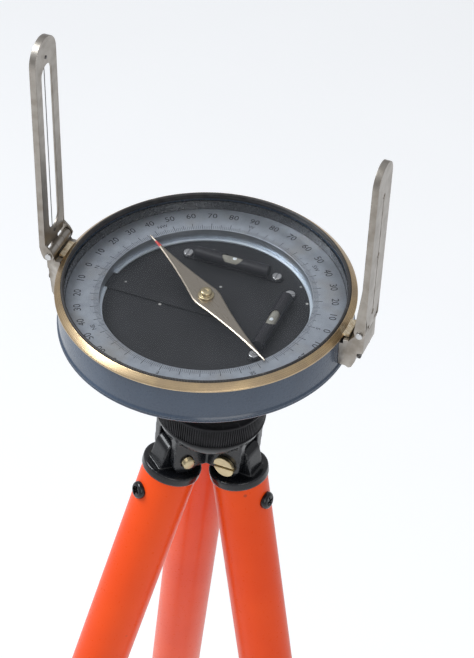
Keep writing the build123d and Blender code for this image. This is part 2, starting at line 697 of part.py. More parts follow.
if __name__ == "__main__":
    os.makedirs("parts", exist_ok=True)
    for node, shape in assembly().items():
        export_step(shape, f"parts/{node}.step")
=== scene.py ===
"""Looks of the surveying compass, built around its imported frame.

Profiles and small sizes are in millimetres, in the frame of the piece they belong to.
"""
import json
import math

import bmesh
import bpy
from mathutils import Matrix, Quaternion, Vector

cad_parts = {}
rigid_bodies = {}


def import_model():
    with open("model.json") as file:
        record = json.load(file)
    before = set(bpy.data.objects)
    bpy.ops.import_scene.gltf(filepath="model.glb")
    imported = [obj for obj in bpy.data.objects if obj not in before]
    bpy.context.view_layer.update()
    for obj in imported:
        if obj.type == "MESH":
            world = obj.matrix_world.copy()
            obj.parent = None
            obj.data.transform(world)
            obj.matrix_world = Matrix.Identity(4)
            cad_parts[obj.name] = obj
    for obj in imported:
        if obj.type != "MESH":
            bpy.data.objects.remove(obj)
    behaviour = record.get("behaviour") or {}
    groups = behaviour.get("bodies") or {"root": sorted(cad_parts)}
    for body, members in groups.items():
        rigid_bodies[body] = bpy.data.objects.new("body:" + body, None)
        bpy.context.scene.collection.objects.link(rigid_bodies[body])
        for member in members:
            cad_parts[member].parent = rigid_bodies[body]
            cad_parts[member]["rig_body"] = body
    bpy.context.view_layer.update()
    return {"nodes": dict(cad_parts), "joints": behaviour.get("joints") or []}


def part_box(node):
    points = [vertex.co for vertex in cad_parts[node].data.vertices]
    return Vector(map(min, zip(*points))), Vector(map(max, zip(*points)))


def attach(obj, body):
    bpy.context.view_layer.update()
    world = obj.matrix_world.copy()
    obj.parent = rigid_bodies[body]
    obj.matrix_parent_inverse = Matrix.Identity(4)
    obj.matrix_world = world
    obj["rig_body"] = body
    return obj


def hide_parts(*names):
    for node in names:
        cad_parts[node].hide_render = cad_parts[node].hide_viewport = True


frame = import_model()

MM = 0.001
UP = Vector((0, 0, 1))
LEGS = ("a", "b", "c")
VANES = ("object", "eye")
JOINTS = {joint["name"]: joint for joint in frame["joints"]}


# ---------------------------------------------------------------- frames
def axes(origin, x, y, z):
    """Matrix whose columns are three directions and an origin in metres."""
    turn = Matrix((x, y, z)).transposed().to_4x4()
    return Matrix.Translation(origin) @ turn


def leg_frame(name):
    """Origin at the leg's hinge, +X outward, +Y along the bolt, +Z up the leg."""
    fold = JOINTS[f"leg_fold_{name}"]
    along_bolt = Vector(fold["axis"])
    up_leg = Vector(JOINTS[f"leg_slide_{name}"]["axis"])
    return axes(fold["pos_m"], along_bolt.cross(up_leg), along_bolt, up_leg)


def extent(node, place):
    """Half width and lowest and highest level of an upright node, in mm from a frame's origin."""
    low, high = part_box(node)
    base = place.translation.z
    return (high.x - low.x) / 2 / MM, (low.z - base) / MM, (high.z - base) / MM


RIM = Matrix.Translation((0, 0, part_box("retaining_ring")[1].z))
BALL = Matrix.Translation(JOINTS["ball_tilt_x"]["pos_m"])
HEAD = BALL @ UP.rotation_difference(Vector(JOINTS["clamp_ring_turn"]["axis"])).to_matrix().to_4x4()
LEG = {name: leg_frame(name) for name in LEGS}


# ---------------------------------------------------------------- materials
class Finish:
    """A Principled material, with short calls for the nodes that feed it."""

    def __init__(self, name, **sockets):
        self.material = bpy.data.materials.new(name)
        self.material.use_nodes = True
        self.tree = self.material.node_tree
        self.shader = self.tree.nodes["Principled BSDF"]
        for socket, value in sockets.items():
            self.shader.inputs[socket.replace("_", " ")].default_value = value
        self.place = self.node("TexCoord", out="Object")

    def node(self, kind, *inputs, out=0, **settings):
        """Makes a node, sets or links its inputs in order and returns one output."""
        made = self.tree.nodes.new("ShaderNode" + kind)
        for key, value in settings.items():
            setattr(made, key, value)
        for socket, value in zip(made.inputs, inputs):
            if isinstance(value, bpy.types.NodeSocket):
                self.tree.links.new(value, socket)
            elif value is not None:
                socket.default_value = value
        return made.outputs[out]

    def maths(self, operation, *inputs):
        return self.node("Math", *inputs, operation=operation)

    def span(self, value, low, high, to_low=0.0, to_high=1.0):
        """Maps a value from one range to another, clamped."""
        return self.node("MapRange", value, low, high, to_low, to_high)

    def mix(self, share, first, second):
        made = self.tree.nodes.new("ShaderNodeMix")
        made.data_type = "RGBA"
        for index, value in ((0, share), (6, first), (7, second)):
            if isinstance(value, bpy.types.NodeSocket):
                self.tree.links.new(value, made.inputs[index])
            elif index:
                made.inputs[index].default_value = (*value, 1)
            else:
                made.inputs[index].default_value = value
        return made.outputs[2]

    def stretched(self, x, y, z):
        return self.node("VectorMath", self.place, (x, y, z), operation="MULTIPLY")

    def turned(self):
        """Distance from the local Z axis, and height, as a vector: rings on a turned piece."""
        parts = self.tree.nodes.new("ShaderNodeSeparateXYZ")
        self.tree.links.new(self.place, parts.inputs[0])
        flat = self.node("CombineXYZ", parts.outputs[0], parts.outputs[1], 0.0)
        radius = self.node("VectorMath", flat, operation="LENGTH", out="Value")
        return self.node("CombineXYZ", radius, 0.0, parts.outputs[2])

    def noise(self, size, vector=None, detail=3.0):
        """Noise with features of about this size in millimetres."""
        vector = self.place if vector is None else vector
        return self.node("TexNoise", vector, None, 1 / (size * MM), detail, 0.55)

    def specks(self, size, share):
        """1 inside a few round specks, 0 elsewhere."""
        cells = self.tree.nodes.new("ShaderNodeTexVoronoi")
        cells.inputs["Scale"].default_value = 1 / (size * MM)
        self.tree.links.new(self.place, cells.inputs["Vector"])
        picked = self.node("SeparateColor", cells.outputs["Color"])
        chosen = self.maths("LESS_THAN", picked, share)
        round_spot = self.span(cells.outputs["Distance"], 0.06, 0.13, 1.0, 0.0)
        return self.maths("MULTIPLY", chosen, round_spot)

    def edges(self, low=0.51, high=0.58):
        """1 on outer edges, where a painted highlight goes, 0 on flat faces."""
        curved = self.node("NewGeometry", out="Pointiness")
        return self.span(curved, low, high)

    def feed(self, socket, value):
        self.tree.links.new(value, self.shader.inputs[socket])

    def bump(self, height, depth):
        made = self.tree.nodes.new("ShaderNodeBump")
        made.inputs["Distance"].default_value = depth * MM
        self.tree.links.new(height, made.inputs["Height"])
        self.feed("Normal", made.outputs[0])


def surface(name, colour, tint, rough, patch=14.0, grain=0.5, depth=0.01, vector=None,
            edge_highlight=None, dust=None, **sockets):
    """A finish with patches of a second tint, fine grain in its gloss and relief, a painted highlight on
    its outer edges, and dust.
    """
    made = Finish(name, **sockets)
    lie = made.turned() if vector == "turned" else made.stretched(*vector) if vector else made.place
    grain_value = made.noise(grain, lie)
    patches = made.span(made.noise(patch), 0.35, 0.65)
    shade = made.mix(patches, colour, tint)
    if edge_highlight:
        # painted highlight: a paler colour laid in patches on the outer edges
        lit_edges = made.maths("MULTIPLY", made.edges(), made.span(made.noise(patch / 4), 0.3, 0.6))
        shade = made.mix(lit_edges, shade, edge_highlight)
    if dust:
        shade = made.mix(made.specks(dust, 0.16), shade, (0.45, 0.44, 0.42))
    made.feed("Base Color", shade)
    made.feed("Roughness", made.span(grain_value, 0.3, 0.7, *rough))
    made.bump(grain_value, depth)
    return made


def enamel_blue():
    """Gloss enamel outside, black lacquer inside the box."""
    made = Finish("enamel_blue", Coat_Weight=0.5, Coat_Roughness=0.12)
    radius = made.node("SeparateXYZ", made.turned())
    shade = made.mix(made.span(made.noise(30), 0.35, 0.65), (0.034, 0.054, 0.088), (0.044, 0.068, 0.108))
    shade = made.mix(made.specks(6.0, 0.05), shade, (0.3, 0.34, 0.38))
    black = made.mix(made.noise(3), (0.012, 0.012, 0.013), (0.022, 0.022, 0.024))
    inside = made.maths("LESS_THAN", radius, 65.9 * MM)
    made.feed("Base Color", made.mix(inside, shade, black))
    peel = made.noise(1.6, detail=1.0)
    made.feed("Roughness", made.span(peel, 0.3, 0.7, 0.24, 0.34))
    made.bump(peel, 0.012)
    return made


def silvered():
    """Matt silvered brass, brushed in rings."""
    made = Finish("silvered", Metallic=0.85)
    rings = made.noise(0.35, made.turned(), detail=2.0)
    mottled = made.span(made.noise(5.0), 0.3, 0.7)
    shade = made.mix(mottled, (0.4, 0.432, 0.485), (0.49, 0.53, 0.585))
    shade = made.mix(made.span(made.noise(22.0), 0.5, 0.7), shade, (0.42, 0.415, 0.41))
    made.feed("Base Color", shade)
    made.feed("Roughness", made.span(rings, 0.3, 0.7, 0.36, 0.48))
    made.bump(rings, 0.006)
    return made


def needle_steel():
    """Brushed blade with a red band near its north tip, which lies toward +X of the needle."""
    made = Finish("needle_steel", Metallic=1.0)
    brushed = made.noise(0.25, made.stretched(0.04, 1, 1))
    shade = made.mix(brushed, (0.36, 0.31, 0.25), (0.47, 0.415, 0.345))
    along = made.node("SeparateXYZ", made.place)
    band = made.maths("MULTIPLY", made.maths("GREATER_THAN", along, 41.8 * MM),
                      made.maths("LESS_THAN", along, 46.3 * MM))
    made.feed("Base Color", made.mix(band, shade, (0.62, 0.035, 0.025)))
    made.feed("Metallic", made.span(band, 0, 1, 1.0, 0.0))
    made.feed("Roughness", made.span(brushed, 0.3, 0.7, 0.26, 0.4))
    made.bump(brushed, 0.006)
    return made


def glass():
    """Clear cover with a trace of haze; its alpha keeps it see-through in any renderer."""
    made = Finish("glass", Alpha=0.06, IOR=1.5)
    made.feed("Base Color", made.mix(made.noise(20), (0.1, 0.11, 0.12), (0.16, 0.17, 0.18)))
    made.feed("Roughness", made.span(made.noise(9), 0.3, 0.7, 0.03, 0.07))
    return made


def orange_paint():
    made = Finish("orange_paint", Coat_Weight=0.16, Coat_Roughness=0.2, Specular_IOR_Level=0.16)
    shade = made.mix(made.span(made.noise(60), 0.35, 0.65), (0.8, 0.064, 0.004), (0.86, 0.08, 0.006))
    shade = made.mix(made.specks(9.0, 0.04), shade, (0.5, 0.06, 0.02))
    made.feed("Base Color", shade)
    peel = made.noise(1.3, detail=1.5)
    made.feed("Roughness", made.span(peel, 0.3, 0.7, 0.27, 0.38))
    made.bump(peel, 0.02)
    return made


# The paler edge colours given below are painted highlights on outer edges.
FINISHES = {
    "enamel_blue": enamel_blue(),
    "silvered": silvered(),
    "needle_steel": needle_steel(),
    "glass": glass(),
    "orange_paint": orange_paint(),
    "bright_silver": surface("bright_silver", (0.72, 0.8, 0.87), (0.62, 0.69, 0.76), (0.24, 0.36), patch=18,
                             grain=0.3, vector="turned", depth=0.008, Metallic=0.45),
    "brass": surface("brass", (0.58, 0.43, 0.25), (0.47, 0.35, 0.22), (0.2, 0.36), patch=9, grain=0.3,
                     vector="turned", depth=0.008, edge_highlight=(0.82, 0.71, 0.52), Metallic=1.0),
    "pale_brass": surface("pale_brass", (0.62, 0.52, 0.32), (0.5, 0.42, 0.27), (0.26, 0.42), patch=5,
                          grain=0.3, vector="turned", depth=0.01, Metallic=1.0),
    "black_ring": surface("black_ring", (0.02, 0.019, 0.02), (0.028, 0.026, 0.027), (0.34, 0.46),
                          grain=0.4, vector="turned", depth=0.01, edge_highlight=(0.1, 0.095, 0.09),
                          Specular_IOR_Level=0.35),
    "ribbed_black": surface("ribbed_black", (0.005, 0.005, 0.006), (0.007, 0.007, 0.009), (0.38, 0.5),
                            grain=0.5, depth=0.012, edge_highlight=(0.04, 0.04, 0.045), Specular_IOR_Level=0.18),
    "black_plate": surface("black_plate", (0.011, 0.011, 0.013), (0.016, 0.016, 0.019), (0.48, 0.6),
                           patch=26, grain=0.35, depth=0.02, dust=7.0, Specular_IOR_Level=0.35),
    "level_black": surface("level_black", (0.01, 0.009, 0.012), (0.014, 0.013, 0.017), (0.28, 0.38),
                           grain=0.6, depth=0.01, Specular_IOR_Level=0.4),
    "nickel": surface("nickel", (0.27, 0.24, 0.205), (0.31, 0.28, 0.245), (0.28, 0.4), patch=24,
                      grain=0.3, vector=(1, 1, 0.05), depth=0.008, edge_highlight=(0.5, 0.47, 0.43), Metallic=1.0),
    "steel": surface("steel", (0.5, 0.5, 0.51), (0.6, 0.6, 0.6), (0.25, 0.4), patch=4, grain=0.3,
                     depth=0.008, Metallic=1.0),
    "dark_steel": surface("dark_steel", (0.1, 0.095, 0.09), (0.15, 0.145, 0.14), (0.3, 0.45), patch=4,
                          grain=0.3, depth=0.01, Metallic=1.0),
    "black_gloss": surface("black_gloss", (0.005, 0.0055, 0.007), (0.007, 0.008, 0.01), (0.2, 0.3),
                           patch=12, grain=1.8, depth=0.02, edge_highlight=(0.04, 0.042, 0.048),
                           Coat_Weight=0.28, Coat_Roughness=0.1, Specular_IOR_Level=0.3),
    "black_plastic": surface("black_plastic", (0.022, 0.022, 0.024), (0.03, 0.03, 0.033), (0.36, 0.5),
                             grain=0.7, depth=0.03),
    "seat": surface("seat", (0.5, 0.45, 0.35), (0.56, 0.51, 0.4), (0.4, 0.55), grain=0.8),
    "leg_alloy": surface("leg_alloy", (0.5, 0.51, 0.52), (0.58, 0.59, 0.6), (0.26, 0.4), patch=30,
                         grain=0.4, vector=(1, 1, 0.03), depth=0.006, Metallic=1.0),
    "ink": surface("ink", (0.012, 0.012, 0.016), (0.03, 0.03, 0.035), (0.5, 0.65), patch=1.5),
    "level_liquid": surface("level_liquid", (0.2, 0.19, 0.155), (0.26, 0.25, 0.21), (0.05, 0.1),
                            patch=4, Coat_Weight=1.0, Coat_Roughness=0.02),
    # the bubble's pale bluish white is a painted reflection of the sky; the air in the vial has no colour
    # of its own
    "level_bubble": surface("level_bubble", (0.62, 0.67, 0.7), (0.72, 0.76, 0.78), (0.06, 0.12),
                            patch=3, Coat_Weight=1.0, Coat_Roughness=0.02),
}


# ---------------------------------------------------------------- meshes
def rounded(profile, radius, steps):
    """Closed outline of (radius, height) corners, each rounded; a third item marks a ribbed corner."""
    outline = []
    for index, corner in enumerate(profile):
        here = Vector(corner[:2])
        ribbed = len(corner) > 2
        if here.x < 1e-6:
            outline.append((here, ribbed))
            continue
        before = Vector(profile[index - 1][:2]) - here
        after = Vector(profile[(index + 1) % len(profile)][:2]) - here
        reach = min(radius, before.length * 0.45, after.length * 0.45)
        start, end = here + before.normalized() * reach, here + after.normalized() * reach
        for step in range(steps + 1):
            share = step / steps
            point = start.lerp(here, share).lerp(here.lerp(end, share), share)
            outline.append((point, ribbed))
    return outline


def lathe(profile, around=128, soft=0.3, steps=3, ribs=None, depth=0.0):
    """Mesh of revolution about local Z. ribs is the pattern of one rib, repeated around."""
    outline = rounded(profile, soft, steps)
    count = len(outline)
    vertices, faces = [], []
    for column in range(around):
        angle = 2 * math.pi * column / around
        cut = depth * ribs[column % len(ribs)] if ribs else 0
        for point, ribbed in outline:
            reach = (point.x - (cut if ribbed else 0)) * MM
            vertices.append((reach * math.cos(angle), reach * math.sin(angle), point.y * MM))
    for column in range(around):
        here, beside = column * count, (column + 1) % around * count
        for row in range(count):
            above = (row + 1) % count
            faces.append((here + row, beside + row, beside + above, here + above))
    return tidy_mesh(vertices, faces)


def tidy_mesh(vertices, faces, sharp=32):
    """Mesh with its doubled points merged, its faces turned outward and smooth up to an angle."""
    mesh = bpy.data.meshes.new("mesh")
    mesh.from_pydata(vertices, [], faces)
    work = bmesh.new()
    work.from_mesh(mesh)
    bmesh.ops.remove_doubles(work, verts=work.verts, dist=1e-7)
    bmesh.ops.dissolve_degenerate(work, edges=work.edges, dist=1e-7)
    bmesh.ops.recalc_face_normals(work, faces=work.faces)
    work.to_mesh(mesh)
    work.free()
    mesh.shade_smooth()
    mesh.set_sharp_from_angle(angle=math.radians(sharp))
    return mesh


def add_piece(name, mesh, place, finish, stands_for=(), body=None):
    """Puts a mesh in place on its CAD body, in the place of some CAD nodes."""
    mesh.materials.clear()
    mesh.materials.append(FINISHES[finish].material)
    piece = bpy.data.objects.new(name, mesh)
    bpy.context.scene.collection.objects.link(piece)
    piece.matrix_world = place
    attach(piece, body or frame["nodes"][stands_for[0]]["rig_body"])
    if stands_for:
        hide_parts(*stands_for)
    return piece


def flutes(points):
    """One smooth wave of a fluted knob, as a rib pattern."""
    return [0.5 - 0.5 * math.cos(2 * math.pi * point / points) for point in range(points)]


# ---------------------------------------------------------------- compass box
def compass_box():
    bead, low, top = extent("compass_box", RIM)
    glass_low = extent("cover_glass", RIM)[1]
    wall, bore, plate_low = bead - 0.8, 65.2, extent("base_plate", RIM)[1]
    profile = (
        (0, low), (bead - 0.9, low), (bead - 0.3, low + 0.5, "rib"), (bead, low + 0.9, "rib"),
        (bead, low + 1.4, "rib"), (bead - 0.35, low + 1.75), (bead, low + 2.1), (bead, low + 2.6),
        (wall, low + 3.4), (wall, top), (66.6, top), (66.6, glass_low), (bore, glass_low),
        (bore, plate_low), (bore - 3.2, plate_low), (bore - 3.2, low + 2), (0, low + 2),
    )
    mesh = lathe(profile, around=1440, soft=0.22, steps=2, ribs=(0, 1), depth=0.16)
    add_piece("box_shell", mesh, RIM, "enamel_blue", ["compass_box"])


def bezel():
    """Brass ring that slopes up to the milled ring, with a flat lug at each hinge."""
    reach, low, top = extent("brass_bezel", RIM)
    corner_low, corner_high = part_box("brass_bezel")
    outer = (corner_high.y - corner_low.y) / 2 / MM
    inner = outer - 2.95
    crest = top + 2.0
    profile = (
        (inner, low), (outer, low), (outer, low + 0.75), (outer - 0.3, low + 1.05),
        (inner + 0.25, crest), (inner, crest),
    )
    mesh = lathe(profile, around=256, soft=0.25)
    work = bmesh.new()
    work.from_mesh(mesh)
    lug_inner, lug_width = inner + 0.3, 11.0
    size = Vector((reach - lug_inner, lug_width, top - low - 0.02)) * MM
    for side in (-1, 1):
        middle = Vector((side * (reach + lug_inner) / 2, 0, (top + low) / 2)) * MM
        block = Matrix.Translation(middle) @ Matrix.Diagonal((*size, 1))
        lug = bmesh.ops.create_cube(work, size=1, matrix=block)["verts"]
        rim = {edge for vertex in lug for edge in vertex.link_edges}
        bmesh.ops.bevel(work, geom=list(rim), offset=0.18 * MM, segments=2, affect="EDGES")
    work.to_mesh(mesh)
    work.free()
    add_piece("bezel_ring", mesh, RIM, "brass", ["brass_bezel"])


def milled_ring():
    """Screwed ring over the glass, its outer edge milled for grip and its skirt round the glass."""
    outer, low, top = extent("retaining_ring", RIM)
    inner, skirt, glass_top = outer - 1.5, outer - 0.55, extent("cover_glass", RIM)[2]
    profile = (
        (inner, glass_top), (skirt, glass_top), (skirt, low), (outer, low), (outer, top - 0.95),
        (outer, top - 0.45, "rib"), (outer - 0.4, top, "rib"), (inner + 0.5, top), (inner, top - 0.5),
    )
    mesh = lathe(profile, around=1280, soft=0.18, steps=2, ribs=(0, 0, 1, 1), depth=0.22)
    add_piece("milled_ring", mesh, RIM, "black_ring", ["retaining_ring"])


def dial():
    outer, low, top = extent("graduated_ring", RIM)
    inner, lip = 49.5, 2.5
    profile = (
        (inner, low), (inner + lip, low), (inner + lip, top - lip), (outer - lip, top - lip),
        (outer - lip, low), (outer, low), (outer, top), (inner, top),
    )
    add_piece("dial_ring", lathe(profile, around=360, soft=0.25), RIM, "silvered", ["graduated_ring"])
    marks(inner, top)
    figures(inner, top)


def marks(inner, top):
    """A fine line for each degree, longer at 5 and 10 degrees, as inlaid bars."""
    vertices, faces = [], []
    for degree in range(360):
        step = 2 if degree % 10 == 0 else 1 if degree % 5 == 0 else 0
        half, length = 0.085 + 0.03 * step, 2.3 + 0.9 * step
        along = Vector((math.cos(math.radians(degree)), math.sin(math.radians(degree)), 0))
        across = UP.cross(along) * half
        first = len(vertices)
        for level in (top - 0.02, top + 0.02):
            for reach, side in ((0.3, -1), (0.3 + length, -1), (0.3 + length, 1), (0.3, 1)):
                corner = along * (inner + reach) + across * side + UP * level
                vertices.append(corner * MM)
        quads = ((0, 3, 2, 1), (4, 5, 6, 7), (0, 1, 5, 4), (1, 2, 6, 5), (2, 3, 7, 6), (3, 0, 4, 7))
        faces += [[first + corner for corner in quad] for quad in quads]
    add_piece("degree_marks", tidy_mesh(vertices, faces), RIM, "ink", body="compass")


def figures(inner, top):
    """Numbers every ten degrees from each end of the sight line, and the points of the compass."""
    merged = bmesh.new()
    for step in range(36):
        away = min(step * 10, 360 - step * 10)
        number = str(away if away <= 90 else 180 - away)
        write(merged, number, 180 + step * 10, inner + 10.1, 4.9, top)
    points = ("N", "NE", "E", "SE", "S", "SW", "W", "NW")
    for step, point in enumerate(points):
        write(merged, point, 180 + step * 45, inner + 5.9, 2.9, top)
    mesh = bpy.data.meshes.new("figures")
    merged.to_mesh(mesh)
    merged.free()
    add_piece("dial_figures", mesh, RIM, "ink", body="compass")


def write(merged, text, degree, reach, size, level):
    """Adds upright lettering, its head outward, to a mesh."""
    curve = bpy.data.curves.new("text", "FONT")
    curve.body = text
    curve.size = size * MM
    curve.extrude = 0.02 * MM
    curve.align_x, curve.align_y = "CENTER", "CENTER"
    curve.resolution_u = 3
    holder = bpy.data.objects.new("text", curve)
    mesh = bpy.data.meshes.new_from_object(holder)
    outward = Vector((math.cos(math.radians(degree)), math.sin(math.radians(degree)), 0))
    place = axes((outward * reach + UP * level) * MM, outward.cross(UP), outward, UP)
    mesh.transform(place)
    merged.from_mesh(mesh)
    bpy.data.objects.remove(holder)


# ---------------------------------------------------------------- needle and levels
def needle():
    """Blade with four hollow sides and a faint ridge bevel along every edge."""
    low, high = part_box("needle")
    top, thick = (high.z - RIM.translation.z) / MM, (high.z - low.z) / MM
    tip = (Vector((high.x, high.y)) - Vector((low.x, low.y))).length / 2 / MM
    direction = math.atan2(high.y, low.x)
    side, waist, steps = 6.45, 2.0, 24
    outline = []
    for step in range(steps + 1):
        share = step / steps
        hollow = (1 - share) * side + share * 0.3 - 4.4 * share * (1 - share)
        outline.append((waist + (tip - waist) * share, hollow))
    half = outline + [(x, -y) for x, y in reversed(outline)]
    loop = [(x, y) for x, y in half] + [(-x, -y) for x, y in half]
    vertices, faces = [], []
    levels = ((top - thick, 0.12), (top - thick + 0.12, 0), (top - 0.3, 0), (top, 0.5))
    for level, inset in levels:
        for x, y in loop:
            narrow = max(0.0, 1 - inset / max(abs(y), 0.3))
            vertices.append((x * MM, y * narrow * MM, level * MM))
    count = len(loop)
    for ring in range(len(levels) - 1):
        for step in range(count):
            after = (step + 1) % count
            low_edge, high_edge = ring * count, (ring + 1) * count
            faces.append((low_edge + step, low_edge + after, high_edge + after, high_edge + step))
    last = (len(levels) - 1) * count
    faces.append(list(range(count)))
    faces.append([last + step for step in range(count)])
    place = RIM @ Matrix.Rotation(direction, 4, "Z")
    mesh = tidy_mesh(vertices, faces, sharp=18)
    add_piece("needle_blade", mesh, place, "needle_steel", ["needle"])


def needle_cap():
    low, top = extent("needle_cap", RIM)[1:]
    blade = extent("needle", RIM)[2]
    profile = (
        (0, low + 2), (2.0, low), (3.1, low), (3.1, blade - 0.8), (2.55, blade - 0.8), (2.55, blade),
        (3.85, blade), (3.85, blade + 0.75), (3.55, blade + 1.05), (2.75, blade + 1.15),
        (2.55, blade + 1.5), (2.9, blade + 1.8), (2.9, top - 0.75), (2.3, top - 0.15), (1.0, top),
        (0.85, top - 0.35), (0, top - 0.5),
    )
    mesh = lathe(profile, around=72, soft=0.25)
    add_piece("jewel_cap", mesh, RIM, "pale_brass", ["needle_cap"])


def spirit_level(axis):
    """Glass vial with liquid, and the bubble that shows in the window."""
    low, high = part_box(f"level_vial_{axis}")
    size = high - low
    along = Vector((1, 0, 0)) if axis == "x" else Vector((0, 1, 0))
    across = UP.cross(along)
    place = axes((low + high) / 2, across, UP, along)
    half, radius = max(size.x, size.y) / 2 / MM, size.z / 2 / MM
    dome = [(radius * math.sin(turn), half - radius + radius * math.cos(turn))
            for turn in (math.pi / 2, math.pi / 3, math.pi / 6, 0)]
    profile = [(0, -half)] + [(r, -z) for r, z in reversed(dome[:-1])] + dome
    mesh = lathe(profile, around=48, soft=0.3)
    add_piece(f"level_liquid_{axis}", mesh, place, "level_liquid", [f"level_vial_{axis}"])
    rings = 12
    bubble = [(math.sin(math.pi * step / rings), -math.cos(math.pi * step / rings))
              for step in range(rings + 1)]
    shape = lathe([(abs(r) * 1.55, z * 2.7) for r, z in bubble], around=32, soft=0.05, steps=1)
    shift = {"x": 1.2, "y": -1.2}[axis] * MM
    lifted = place @ Matrix.Translation((0, (radius - 1.42) * MM, shift))
    # the bubble's pale colour is a painted reflection
    add_piece(f"level_bubble_{axis}", shape, lifted, "level_bubble", body="compass")


# ---------------------------------------------------------------- ball joint
def clamp_ring():
    """Ribbed ring nut with a groove at the foot of its ribs."""
    outer, low, top, count = 26.5, -7.0, 6.0, 144
    profile = (
        (13.5, 2.4), (22.3, 2.4), (22.3, low), (outer - 0.3, low), (outer + 0.25, low + 0.5),
        (outer + 0.25, low + 1.1), (outer - 0.2, low + 1.35), (outer, low + 1.6, "rib"),
        (outer, top - 1.5, "rib"), (outer, top - 1.2), (outer, top - 0.35), (outer - 0.4, top),
        (outer - 3.3, top), (outer - 3.7, top - 1.0), (13.5, top - 1.4), (10.9, top - 1.4),
    )
    pattern = (0, 0, 0, 1, 1, 1)
    mesh = lathe(profile, around=count * len(pattern), soft=0.18, steps=2, ribs=pattern, depth=0.5)
    add_piece("ribbed_ring", mesh, HEAD, "ribbed_black", ["clamp_ring"])


def knurled_screw(name, node, place, profile, count, finish="steel"):
    pattern = (0, 0, 1, 1)
    mesh = lathe(profile, around=count * len(pattern), soft=0.3, steps=2, ribs=pattern, depth=0.3)
    add_piece(name, mesh, place, finish, [node])


def bearing_screw():
    """Screw that locks the compass at a bearing: it points along -Y toward the spindle."""
    joint = JOINTS["azimuth_clamp_turn"]
    level = Vector((BALL.translation.x, BALL.translation.y, joint["pos_m"][2]))
    place = axes(level, Vector((1, 0, 0)), Vector((0, 0, -1)), Vector((0, 1, 0)))
    profile = (
        (0, 8.5), (2.2, 8.5), (2.5, 9), (2.5, 18), (5.6, 18), (6.3, 18.7), (6.5, 19.4, "rib"),
        (6.5, 24.6, "rib"), (6.3, 25.3), (5.6, 26), (3.0, 26), (2.4, 25.4), (0, 25.2),
    )
    knurled_screw("bearing_screw", "azimuth_clamp", place, profile, 40, "steel")


def needle_lock():
    """Knurled screw under the box."""
    low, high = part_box("arrest_screw")
    bottom, top = (low.z - RIM.translation.z) / MM, (high.z - RIM.translation.z) / MM
    place = Matrix.Translation(((low.x + high.x) / 2, (low.y + high.y) / 2, RIM.translation.z))
    profile = (
        (0, bottom + 0.3), (2.2, bottom + 0.3), (2.8, bottom), (4.9, bottom), (5.5, bottom + 0.6),
        (5.5, bottom + 1.1, "rib"), (5.5, bottom + 3.9, "rib"), (5.5, bottom + 4.4),
        (4.9, bottom + 5), (2.0, bottom + 5), (2.0, top - 0.2), (1.6, top), (0, top),
    )
    knurled_screw("needle_lock", "arrest_screw", place, profile, 36, "pale_brass")


# ---------------------------------------------------------------- legs
def prism(outline, low, high):
    """Closed prism over an outline, as vertices in metres and faces."""
    count = len(outline)
    vertices = [(x * MM, y * MM, level * MM) for level in (low, high) for x, y in outline]
    faces = [list(range(count)), [count + step for step in range(count)]]
    for step in range(count):
        after = (step + 1) % count
        faces.append((step, after, count + after, count + step))
    return vertices, faces


def slotted_head(work, radius, low, high, slot):
    """Adds a round head with a driver slot along local X, open toward the low end, to a mesh."""
    start = math.asin(slot / 2 / radius)
    arc = [start + (math.pi - 2 * start) * step / 30 for step in range(31)]
    reach, half = radius * math.cos(start), slot / 2
    shapes = []
    for side in (-1, 1):
        cheek = [(radius * math.cos(turn), side * radius * math.sin(turn)) for turn in arc]
        shapes.append(prism(cheek, low, high))
    slot_floor = ((-reach, -half), (reach, -half), (reach, half), (-reach, half))
    shapes.append(prism(slot_floor, (low + high) / 2, high))
    for vertices, faces in shapes:
        part = bmesh.new()
        mesh = tidy_mesh(vertices, faces)
        part.from_mesh(mesh)
        corners = [edge for edge in part.edges if edge.calc_face_angle(0) > 1.0]
        bmesh.ops.bevel(
            part, geom=corners, offset=0.2 * MM, segments=2, affect="EDGES", clamp_overlap=True)
        part.to_mesh(mesh)
        part.free()
        work.from_mesh(mesh)


def hinge_bolts():
    """Slotted bolts through the leg hinges, threaded at their plain end."""
    radius, reach, end, pitch = 3.0, 10.5, 12.7, 0.55
    thread = [(radius - 0.3 * (step % 2), 9.6 + pitch / 2 * step) for step in range(11)]
    profile = [(0, -reach), (radius, -reach), (radius, 9.4)] + thread + [(2.4, end), (0, end)]
    shank = lathe(profile, around=64, soft=0.05, steps=1)
    work = bmesh.new()
    for name in LEGS:
        place = LEG[name] @ Matrix.Rotation(-math.pi / 2, 4, "X")
        bolt = bmesh.new()
        bolt.from_mesh(shank)
        slotted_head(bolt, 5.5, -reach - 2.0, -reach, 1.1)
        whole = bpy.data.meshes.new("bolt")
        bolt.to_mesh(whole)
        bolt.free()
        whole.transform(HEAD.inverted() @ place)
        work.from_mesh(whole)
    mesh = bpy.data.meshes.new("bolts")
    work.to_mesh(mesh)
    work.free()
    mesh.shade_smooth()
    mesh.set_sharp_from_angle(angle=math.radians(32))
    add_piece("slotted_bolts", mesh, HEAD, "pale_brass", ["hinge_bolts"])


